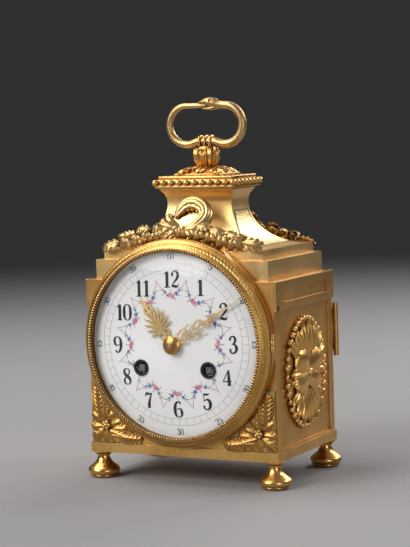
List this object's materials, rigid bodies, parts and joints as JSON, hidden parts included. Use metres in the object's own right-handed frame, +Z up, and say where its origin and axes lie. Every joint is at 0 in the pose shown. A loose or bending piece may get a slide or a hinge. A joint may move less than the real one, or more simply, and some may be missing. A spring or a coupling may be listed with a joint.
{
  "type": "travelling clock",
  "caption": "Gilt bronze travelling clock on turned feet: enamel dial in a hinged glazed bezel, concave roof, leaf mounts, snake handle, rear door and spring-driven striking movement.",
  "frame": {"origin": "on the table under the middle of the case", "axes": "+X to the right seen from the dial side, +Y to the back, +Z up"},
  "size_m": [0.119, 0.1, 0.1984],
  "materials": {
    "gilt_bronze": "satin gilt",
    "gilt_hand": "polished gilt",
    "movement_brass": "brushed",
    "bell_metal": "polished",
    "steel": "brushed",
    "enamel": "gloss enamel",
    "glass": "clear"
  },
  "bodies": {
    "case": {"plinth": "gilt_bronze", "feet": "gilt_bronze", "tie_rods": "steel", "front_panel": "gilt_bronze", "rear_panel": "gilt_bronze", "side_panel_left": "gilt_bronze", "side_panel_right": "gilt_bronze", "roof": "gilt_bronze", "cornice": "gilt_bronze", "leaf_plate": "gilt_bronze", "handle_socket": "gilt_bronze", "mount_nuts": "steel", "front_garland": "gilt_bronze", "rear_garland": "gilt_bronze", "corner_mount_left": "gilt_bronze", "corner_mount_right": "gilt_bronze", "rosette_left": "gilt_bronze", "rosette_right": "gilt_bronze", "front_ring": "gilt_bronze", "movement_fixings": "steel", "hinge_pins": "steel", "dial": "enamel", "front_plate": "movement_brass", "back_plate": "movement_brass", "pillars": "movement_brass", "platform": "movement_brass", "balance_cock": "movement_brass", "bell": "bell_metal", "bell_post": "movement_brass"},
    "bezel_leaf": {"bezel": "gilt_bronze", "bezel_glass": "glass"},
    "door_leaf": {"rear_door": "gilt_bronze"},
    "door_button": {"door_knob": "gilt_bronze"},
    "handle": {"snake_handle": "gilt_bronze"},
    "minute_work": {"centre_wheel": "movement_brass", "cannon_pinion": "movement_brass", "minute_hand": "gilt_hand", "hand_boss": "gilt_hand"},
    "hour_work": {"hour_wheel": "movement_brass", "hour_hand": "gilt_hand"},
    "minute_gear": {"minute_wheel": "movement_brass"},
    "intermediate": {"intermediate_wheel": "movement_brass"},
    "going_drum": {"going_barrel": "movement_brass", "going_mainspring": "steel"},
    "going_winder": {"going_arbor": "steel"},
    "going_pawl": {"going_click": "steel"},
    "third": {"third_wheel": "movement_brass"},
    "fourth": {"fourth_wheel": "movement_brass"},
    "escape": {"escape_wheel": "steel"},
    "lever": {"pallet_lever": "steel"},
    "balance": {"balance_wheel": "movement_brass", "hairspring": "steel"},
    "strike_drum": {"strike_barrel": "movement_brass", "strike_mainspring": "steel"},
    "strike_winder": {"strike_arbor": "steel"},
    "strike_pawl": {"strike_click": "steel"},
    "strike_second": {"strike_wheel": "movement_brass"},
    "pins": {"pin_wheel": "movement_brass"},
    "fly_vane": {"fly": "movement_brass"},
    "hammer_arm": {"hammer": "steel"}
  },
  "joints": [
    {"name": "bezel_hinge", "type": "hinge", "parent": "case", "child": "bezel_leaf", "pos_m": [0.0543, -0.0394, 0.0728], "axis": [0, 0, 1], "range_deg": [0, 115]},
    {"name": "door_hinge", "type": "hinge", "parent": "case", "child": "door_leaf", "pos_m": [0.0543, 0.0394, 0.0728], "axis": [0, 0, -1], "range_deg": [0, 110]},
    {"name": "door_turn", "type": "hinge", "parent": "door_leaf", "child": "door_button", "pos_m": [-0.0435, 0.04, 0.0728], "axis": [0, -1, 0], "range_deg": [0, 90]},
    {"name": "handle_swing", "type": "hinge", "parent": "case", "child": "handle", "pos_m": [0, 0, 0.175], "axis": [1, 0, 0], "range_deg": [-80, 80]},
    {"name": "minute_turn", "type": "hinge", "parent": "case", "child": "minute_work", "pos_m": [0, 0, 0.0728], "axis": [0, 1, 0], "continuous": true},
    {"name": "hour_turn", "type": "hinge", "parent": "case", "child": "hour_work", "pos_m": [0, 0, 0.0728], "axis": [0, 1, 0], "continuous": true},
    {"name": "minute_gear_turn", "type": "hinge", "parent": "case", "child": "minute_gear", "pos_m": [0, 0, 0.0848], "axis": [0, 1, 0], "continuous": true},
    {"name": "intermediate_turn", "type": "hinge", "parent": "case", "child": "intermediate", "pos_m": [0.01492, 0, 0.08052], "axis": [0, 1, 0], "continuous": true},
    {"name": "going_drum_turn", "type": "hinge", "parent": "case", "child": "going_drum", "pos_m": [0.0193, 0, 0.0604], "axis": [0, 1, 0], "continuous": true},
    {"name": "third_turn", "type": "hinge", "parent": "case", "child": "third", "pos_m": [0, 0, 0.08855], "axis": [0, 1, 0], "continuous": true},
    {"name": "fourth_turn", "type": "hinge", "parent": "case", "child": "fourth", "pos_m": [0.01005, 0, 0.0964], "axis": [0, 1, 0], "continuous": true},
    {"name": "escape_turn", "type": "hinge", "parent": "case", "child": "escape", "pos_m": [0.02079, 0, 0.09546], "axis": [0, 1, 0], "continuous": true},
    {"name": "lever_rock", "type": "hinge", "parent": "case", "child": "lever", "pos_m": [0.02709, 0, 0.09657], "axis": [0, 1, 0], "range_deg": [-6, 6]},
    {"name": "balance_swing", "type": "hinge", "parent": "case", "child": "balance", "pos_m": [0.03191, 0, 0.09083], "axis": [0, 1, 0], "range_deg": [-150, 150], "stiffness_Nm_per_rad": 0.000002},
    {"name": "going_wind", "type": "hinge", "parent": "case", "child": "going_winder", "pos_m": [0.0193, 0, 0.0604], "axis": [0, 1, 0], "continuous": true},
    {"name": "going_pawl_lift", "type": "hinge", "parent": "case", "child": "going_pawl", "pos_m": [0.02104, 0, 0.07025], "axis": [0, -1, 0], "range_deg": [0, 12], "stiffness_Nm_per_rad": 0.002, "springref_deg": -2.86},
    {"name": "pins_turn", "type": "hinge", "parent": "case", "child": "pins", "pos_m": [-0.01639, 0, 0.09725], "axis": [0, 1, 0], "continuous": true},
    {"name": "strike_second_turn", "type": "hinge", "parent": "case", "child": "strike_second", "pos_m": [-0.01492, 0, 0.08052], "axis": [0, 1, 0], "continuous": true},
    {"name": "strike_drum_turn", "type": "hinge", "parent": "case", "child": "strike_drum", "pos_m": [-0.0193, 0, 0.0604], "axis": [0, 1, 0], "continuous": true},
    {"name": "fly_turn", "type": "hinge", "parent": "case", "child": "fly_vane", "pos_m": [-0.00664, 0, 0.10408], "axis": [0, 1, 0], "continuous": true},
    {"name": "strike_wind", "type": "hinge", "parent": "case", "child": "strike_winder", "pos_m": [-0.0193, 0, 0.0604], "axis": [0, 1, 0], "continuous": true},
    {"name": "strike_pawl_lift", "type": "hinge", "parent": "case", "child": "strike_pawl", "pos_m": [-0.02104, 0, 0.07025], "axis": [0, 1, 0], "range_deg": [0, 12], "stiffness_Nm_per_rad": 0.002, "springref_deg": -2.86},
    {"name": "hammer_lift", "type": "hinge", "parent": "case", "child": "hammer_arm", "pos_m": [-0.0365, 0, 0.0788], "axis": [0, -1, 0], "range_deg": [0, 14], "stiffness_Nm_per_rad": 0.01, "springref_deg": -8.59}
  ],
  "couplings": [
    {"joint": "hour_turn", "follows": "minute_turn", "ratio": 0.083333},
    {"joint": "minute_gear_turn", "follows": "minute_turn", "ratio": -0.33333},
    {"joint": "intermediate_turn", "follows": "minute_turn", "ratio": -0.16667},
    {"joint": "going_drum_turn", "follows": "minute_turn", "ratio": 0.020833},
    {"joint": "third_turn", "follows": "minute_turn", "ratio": -8},
    {"joint": "escape_turn", "follows": "fourth_turn", "ratio": -10},
    {"joint": "strike_second_turn", "follows": "pins_turn", "ratio": -0.16667},
    {"joint": "strike_drum_turn", "follows": "pins_turn", "ratio": 0.020833},
    {"joint": "fly_turn", "follows": "pins_turn", "ratio": -7.5}
  ]
}
